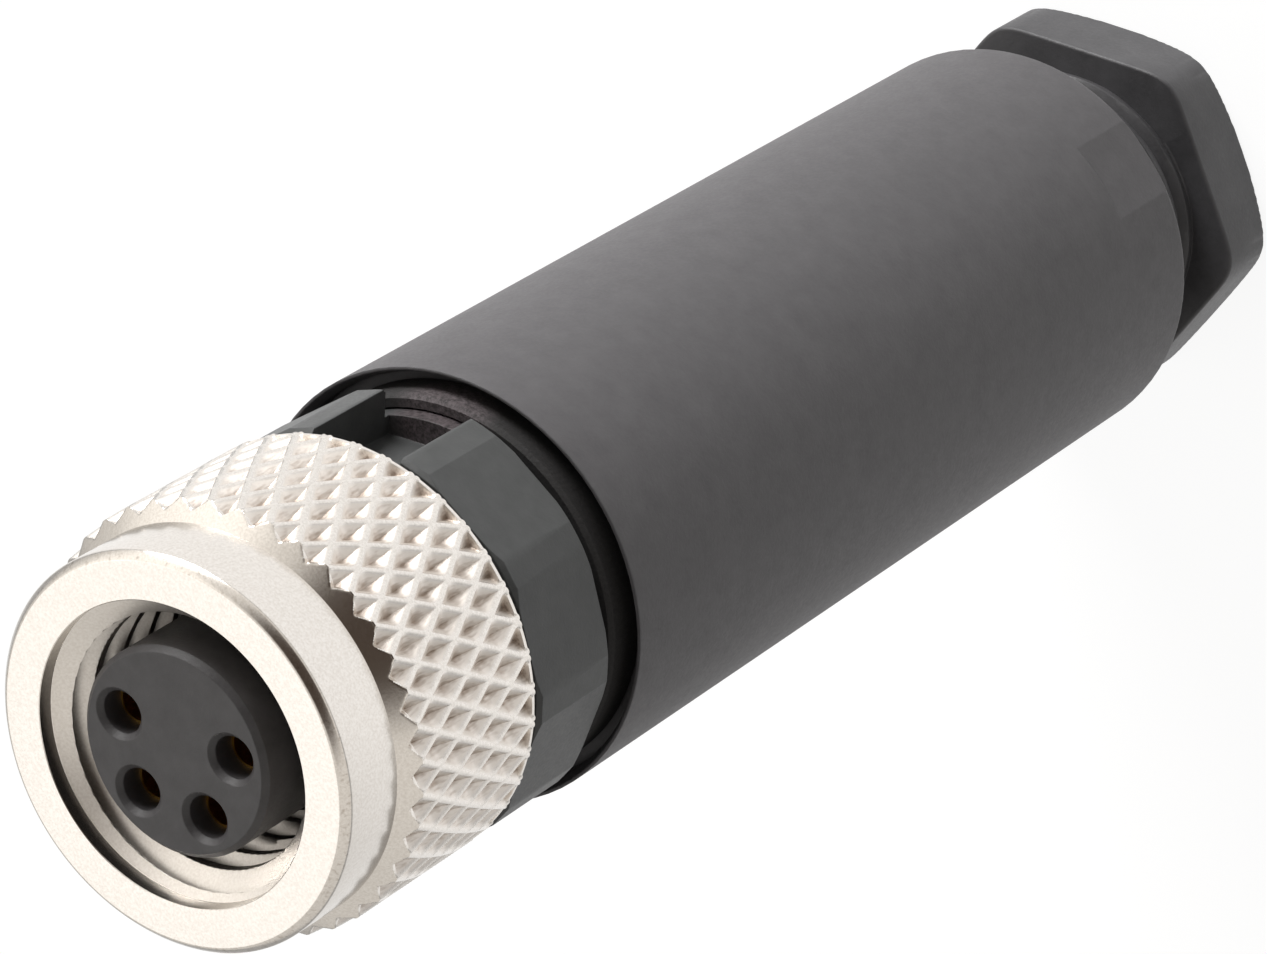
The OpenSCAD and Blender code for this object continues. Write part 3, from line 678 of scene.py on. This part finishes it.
# painted pool of light: to glossy rays the paper glows brightest near pool_at and dims far from it
pool = add(tree, "ShaderNodeMapRange", {
    "Value": reach, "From Min": pool_near, "From Max": pool_far, "To Min": pool_bright, "To Max": pool_dim},
    interpolation_type="SMOOTHSTEP")
strength = add(tree, "ShaderNodeMapRange", {
    "Value": rays["Is Camera Ray"], "To Min": pool, "To Max": paper_white})
matt = add(tree, "ShaderNodeBsdfDiffuse", {"Color": linear("#f4f3f1")})
glowing = add(tree, "ShaderNodeEmission", {"Color": linear("#ffffff"), "Strength": strength})
sheet = add(tree, "ShaderNodeMixShader", {0: lit, 1: matt, 2: glowing})
add(tree, "ShaderNodeOutputMaterial", {"Surface": sheet})
floor_mesh.materials.append(paper)

# Camera: a long lens in front of the connector and above it, rolled so that the axis slants across the frame.
# Its place, tilt, roll and focal length were fitted to the round edges in the photograph.
camera_at = Vector((-0.119, -100.722, 145.245)) * mm
camera_tilt = math.radians(40.2134)
camera_roll = math.radians(-121.5875)
photo_width = 1267
focal_px = 5787.14
camera_data = bpy.data.cameras.new("camera")
camera_data.sensor_fit = "HORIZONTAL"
camera_data.sensor_width = 36.0
camera_data.lens = focal_px * camera_data.sensor_width / photo_width
camera_data.clip_start = 0.01
camera_data.clip_end = 10.0
camera_turn = Matrix.Rotation(camera_tilt, 4, "X") @ Matrix.Rotation(camera_roll, 4, "Z")
camera = bpy.data.objects.new("camera", camera_data)
camera.matrix_world = Matrix.Translation(camera_at) @ camera_turn
bpy.context.scene.collection.objects.link(camera)
bpy.context.scene.camera = camera

# Room and lamps: a pale room, a large soft lamp on the connector's +X side, and a weak, wide one above it
# and behind. The metal mirrors the room's dim side behind the camera and a bright patch high on the +X side.
dim_side = Vector((0.0, -0.65, 0.76))
bright_side = Vector((0.72, 0.31, 0.62))
bright_edge = 0.8
bright_core = 0.97
room_level = 0.95
bright_level = 1.7
soft_level = 0.35
lamp_aim = Vector((0, 0, 25 * mm))
world = bpy.data.worlds.new("room")
bpy.context.scene.world = world
world.use_nodes = True
tree = world.node_tree
tree.nodes.clear()
towards = add(tree, "ShaderNodeTexCoord").node.outputs["Generated"]
to_dim, to_bright = [
    add(tree, "ShaderNodeVectorMath", {0: towards, 1: side}, operation="DOT_PRODUCT").node.outputs["Value"]
    for side in (dim_side, bright_side)]
mirrored = blend_colours(tree, to_dim, [(0.0, "#e4e1dc"), (0.80, "#f2eee8"), (0.94, "#4a3f37")])
patch = add(tree, "ShaderNodeMapRange", {
    "Value": to_bright, "From Min": bright_edge, "From Max": bright_core,
    "To Min": room_level, "To Max": bright_level}, interpolation_type="SMOOTHSTEP")
rays = add(tree, "ShaderNodeLightPath").node.outputs
soft = add(tree, "ShaderNodeBackground", {"Color": linear("#efedea"), "Strength": soft_level})
room = add(tree, "ShaderNodeBackground", {"Color": mirrored, "Strength": patch})
white = add(tree, "ShaderNodeBackground", {"Color": linear("#ffffff"), "Strength": 1.0})
indoors = add(tree, "ShaderNodeMixShader", {0: rays["Is Glossy Ray"], 1: soft, 2: room})
around = add(tree, "ShaderNodeMixShader", {0: rays["Is Camera Ray"], 1: indoors, 2: white})
add(tree, "ShaderNodeOutputWorld", {"Surface": around})

for name, direction, distance, size, power in (
        ("key", (0.94, -0.24, 0.16), 0.5, 0.25, 3.3),
        ("ceiling", (0.05, 0.65, 0.76), 0.5, 0.45, 0.31)):
    lamp = bpy.data.lights.new(name, "AREA")
    lamp.shape = "DISK"
    lamp.size = size
    lamp.energy = power
    away = Vector(direction).normalized()
    facing = away.to_track_quat("Z", "Y").to_matrix().to_4x4()
    stand = bpy.data.objects.new(name, lamp)
    stand.matrix_world = Matrix.Translation(away * distance + lamp_aim) @ facing
    bpy.context.scene.collection.objects.link(stand)

bpy.context.scene.view_settings.view_transform = "Standard"
